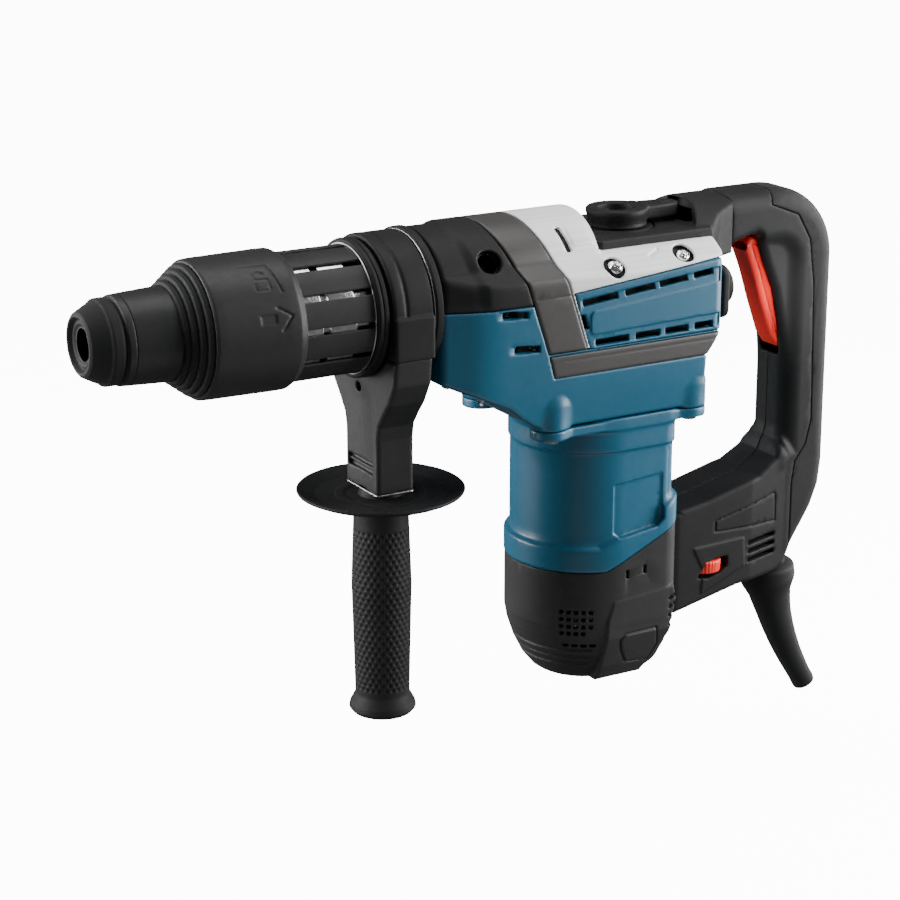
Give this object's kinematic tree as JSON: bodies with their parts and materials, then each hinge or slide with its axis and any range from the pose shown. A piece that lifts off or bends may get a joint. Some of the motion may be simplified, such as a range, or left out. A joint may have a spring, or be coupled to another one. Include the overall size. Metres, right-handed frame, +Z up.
{
  "type": "electric jackhammer",
  "caption": "Rotary hammer with a horizontal barrel, an upright motor, a D-shaped rear handle with trigger, and a clamp-on side handle with a round hand guard.",
  "frame": {"origin": "centre of the mouth of the tool bore, on the hammer axis", "axes": "+X back along the hammer axis towards the rear handle, +Z up, away from the motor, -Y the side towards the viewer"},
  "size_m": [0.4966, 0.1, 0.3377],
  "materials": {
    "black_plastic": "fine textured glass-filled nylon",
    "soft_rubber": "matt soft grip rubber",
    "graphite_plastic": "satin warm grey cover",
    "blue_plastic": "satin moulded nylon",
    "silver_plastic": "silver paint",
    "bright_steel": "machined, oiled",
    "inner_aluminium": "bare casting",
    "winding_copper": "enamelled copper",
    "red_plastic": "satin",
    "carbon": "pressed carbon in plastic holders",
    "chrome_screw": "bright plated"
  },
  "bodies": {
    "housing": {"barrel_cover": "black_plastic", "barrel_liner": "inner_aluminium", "front_bearing": "bright_steel", "front_flange": "black_plastic", "rear_flange": "black_plastic", "front_shell": "graphite_plastic", "lower_housing": "blue_plastic", "arch_band": "graphite_plastic", "top_cover": "silver_plastic", "top_deck": "black_plastic", "side_panel_left": "blue_plastic", "side_panel_right": "blue_plastic", "trim_band": "graphite_plastic", "rear_plate": "black_plastic", "rear_caps": "soft_rubber", "motor_housing": "blue_plastic", "motor_cap": "black_plastic", "service_cover": "black_plastic", "stator": "bright_steel", "field_windings": "winding_copper", "carbon_brushes": "carbon", "motor_bearings": "bright_steel", "gear_bearings": "bright_steel", "handle_left": "black_plastic", "handle_right": "black_plastic", "grip_overmould": "soft_rubber", "switch_module": "graphite_plastic", "speed_control": "graphite_plastic", "cord_guard": "soft_rubber", "housing_screws": "chrome_screw", "cover_screws": "chrome_screw", "handle_screws": "chrome_screw"},
    "spindle": {"dust_cap": "soft_rubber", "front_sleeve": "black_plastic", "tool_holder": "bright_steel", "hammer_tube": "bright_steel", "ring_gear": "bright_steel", "locking_rollers": "bright_steel", "sleeve_spring": "bright_steel"},
    "release_sleeve": {"locking_sleeve": "black_plastic", "sleeve_step_ring": "black_plastic"},
    "bolt": {"impact_bolt": "bright_steel"},
    "ram": {"striker": "bright_steel"},
    "pump": {"piston": "bright_steel"},
    "rod": {"connecting_rod": "bright_steel"},
    "crank": {"crank_gear": "bright_steel"},
    "drive": {"drive_shaft": "bright_steel", "overload_clutch": "bright_steel"},
    "rotor": {"armature": "bright_steel", "commutator": "winding_copper", "fan": "black_plastic"},
    "squeeze_trigger": {"trigger": "red_plastic"},
    "selector": {"mode_selector": "black_plastic"},
    "lock_button": {"selector_button": "black_plastic"},
    "speed_wheel": {"speed_dial": "red_plastic"},
    "side_handle": {"clamp_band": "black_plastic", "handle_arm": "black_plastic", "guard_disc": "black_plastic"},
    "grip": {"side_grip": "soft_rubber", "grip_bolt": "chrome_screw"}
  },
  "joints": [
    {"name": "armature_turn", "type": "hinge", "parent": "housing", "child": "rotor", "pos_m": [0.315, 0, -0.13], "axis": [0, 0, 1], "continuous": true},
    {"name": "spindle_turn", "type": "hinge", "parent": "housing", "child": "spindle", "pos_m": [0, 0, 0], "axis": [1, 0, 0], "continuous": true},
    {"name": "crank_turn", "type": "hinge", "parent": "housing", "child": "crank", "pos_m": [0.27, 0, 0], "axis": [0, 0, 1], "continuous": true},
    {"name": "drive_turn", "type": "hinge", "parent": "housing", "child": "drive", "pos_m": [0.22021, 0, 0], "axis": [0, 0, 1], "continuous": true},
    {"name": "locking_sleeve_slide", "type": "slide", "parent": "spindle", "child": "release_sleeve", "axis": [1, 0, 0], "range_m": [0, 0.01], "stiffness_N_per_m": 800, "springref_m": -0.004},
    {"name": "impact_bolt_slide", "type": "slide", "parent": "spindle", "child": "bolt", "axis": [1, 0, 0], "range_m": [-0.003, 0.0015]},
    {"name": "striker_slide", "type": "slide", "parent": "housing", "child": "ram", "axis": [1, 0, 0], "range_m": [-0.002, 0.006]},
    {"name": "piston_slide", "type": "slide", "parent": "housing", "child": "pump", "axis": [1, 0, 0], "range_m": [0, 0.022]},
    {"name": "rod_swing", "type": "hinge", "parent": "pump", "child": "rod", "pos_m": [0.195, 0, 0], "axis": [0, 0, 1], "range_deg": [-9.9, 9.9]},
    {"name": "trigger_squeeze", "type": "hinge", "parent": "housing", "child": "squeeze_trigger", "pos_m": [0.437, 0, 0.0065], "axis": [0, -1, 0], "range_deg": [0, 5], "stiffness_Nm_per_rad": 1, "springref_deg": -2.86},
    {"name": "mode_selector_turn", "type": "hinge", "parent": "housing", "child": "selector", "pos_m": [0.335, 0, 0.03], "axis": [0, 0, 1], "range_deg": [-95, 95]},
    {"name": "selector_button_press", "type": "slide", "parent": "selector", "child": "lock_button", "axis": [0, 0, -1], "range_m": [0, 0.0015], "stiffness_N_per_m": 500},
    {"name": "speed_dial_turn", "type": "hinge", "parent": "housing", "child": "speed_wheel", "pos_m": [0.3945, -0.0145, -0.189], "axis": [0, 0, 1], "range_deg": [0, 270]},
    {"name": "side_handle_swing", "type": "hinge", "parent": "housing", "child": "side_handle", "pos_m": [0.177, 0, 0], "axis": [1, 0, 0], "continuous": true},
    {"name": "side_grip_turn", "type": "hinge", "parent": "side_handle", "child": "grip", "pos_m": [0.177, 0, -0.15], "axis": [0, 0, 1], "range_deg": [0, 720]}
  ],
  "couplings": [
    {"joint": "crank_turn", "follows": "armature_turn", "ratio": -0.27027},
    {"joint": "drive_turn", "follows": "armature_turn", "ratio": 0.66667},
    {"joint": "spindle_turn", "follows": "armature_turn", "ratio": 0.22222}
  ]
}
